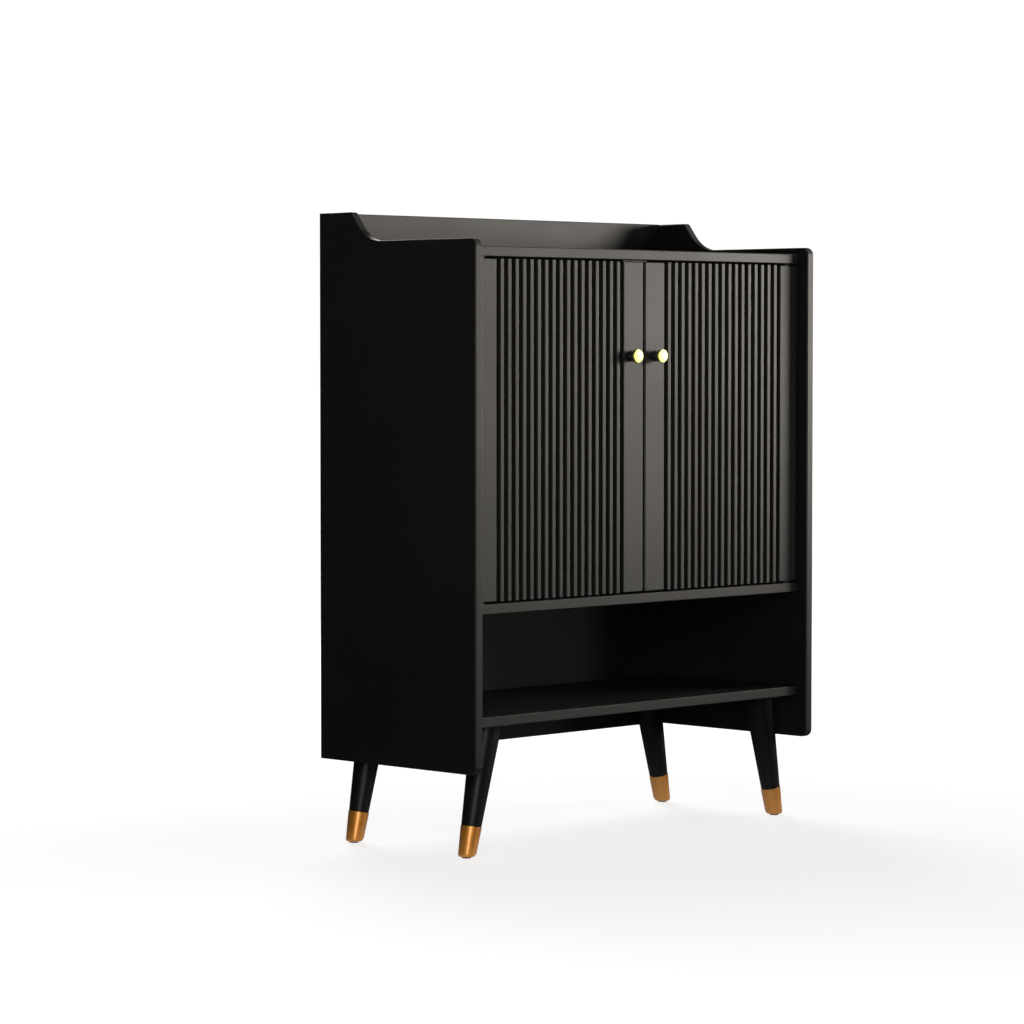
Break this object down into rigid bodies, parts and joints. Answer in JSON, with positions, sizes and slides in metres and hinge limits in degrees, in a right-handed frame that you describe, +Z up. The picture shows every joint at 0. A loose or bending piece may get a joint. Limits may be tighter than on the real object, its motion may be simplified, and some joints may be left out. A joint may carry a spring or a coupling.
{
  "type": "shoe cabinet",
  "caption": "Free-standing shoe cabinet on splayed tapered legs, with slatted hinged doors over inner shelves, an open shoe bay below them and a raised back behind the top.",
  "frame": {"origin": "on the floor, under the middle of the case (bottom centre of the whole cabinet's box)", "axes": "+Z up, -Y towards the front where the doors are, +X to the right as seen from the front"},
  "size_m": [0.8, 0.35, 1],
  "materials": {
    "case_paint": "satin charcoal-black paint on fibreboard",
    "door_paint": "satin charcoal-black paint on fibreboard",
    "leg_paint": "satin black paint on turned wood",
    "brass": "polished, warm gold",
    "pale_brass": "polished, pale gold",
    "black_metal": "satin black",
    "steel": "zinc-plated",
    "black_plastic": "matt",
    "glide_rubber": "matt",
    "beech": "raw beech"
  },
  "bodies": {
    "case": {"side_panel_left": "case_paint", "side_panel_right": "case_paint", "top_panel": "case_paint", "mid_shelf": "case_paint", "bottom_panel": "case_paint", "back_panel": "case_paint", "gallery_rail": "case_paint", "rear_apron": "case_paint", "inner_shelf_lower": "case_paint", "inner_shelf_upper": "case_paint", "shelf_pins": "steel", "cam_locks": "steel", "cam_bolts": "steel", "dowels": "beech", "rail_screws": "steel", "leg_front_left": "leg_paint", "leg_front_right": "leg_paint", "leg_rear_left": "leg_paint", "leg_rear_right": "leg_paint", "ferrule_front_left": "brass", "ferrule_front_right": "brass", "ferrule_rear_left": "brass", "ferrule_rear_right": "brass", "foot_glides": "glide_rubber", "leg_plates": "black_metal", "leg_plate_screws": "black_metal", "leg_bolts": "steel", "pivot_bushes": "black_plastic", "catch_body": "black_plastic", "catch_magnets": "steel", "catch_screws": "steel"},
    "left_door": {"left_hinge_stile": "door_paint", "left_meeting_stile": "door_paint", "left_door_board": "door_paint", "left_slats": "door_paint", "left_pivot_pins": "black_metal", "left_knob_stem": "black_metal", "left_knob_cap": "pale_brass", "left_knob_screw": "steel", "left_strike_plate": "steel"},
    "right_door": {"right_hinge_stile": "door_paint", "right_meeting_stile": "door_paint", "right_door_board": "door_paint", "right_slats": "door_paint", "right_pivot_pins": "black_metal", "right_knob_stem": "black_metal", "right_knob_cap": "pale_brass", "right_knob_screw": "steel", "right_strike_plate": "steel"}
  },
  "joints": [
    {"name": "left_door_hinge", "type": "hinge", "parent": "case", "child": "left_door", "pos_m": [-0.362, -0.1475, 0.66], "axis": [0, 0, -1], "range_deg": [0, 105]},
    {"name": "right_door_hinge", "type": "hinge", "parent": "case", "child": "right_door", "pos_m": [0.362, -0.1475, 0.66], "axis": [0, 0, 1], "range_deg": [0, 105]}
  ]
}
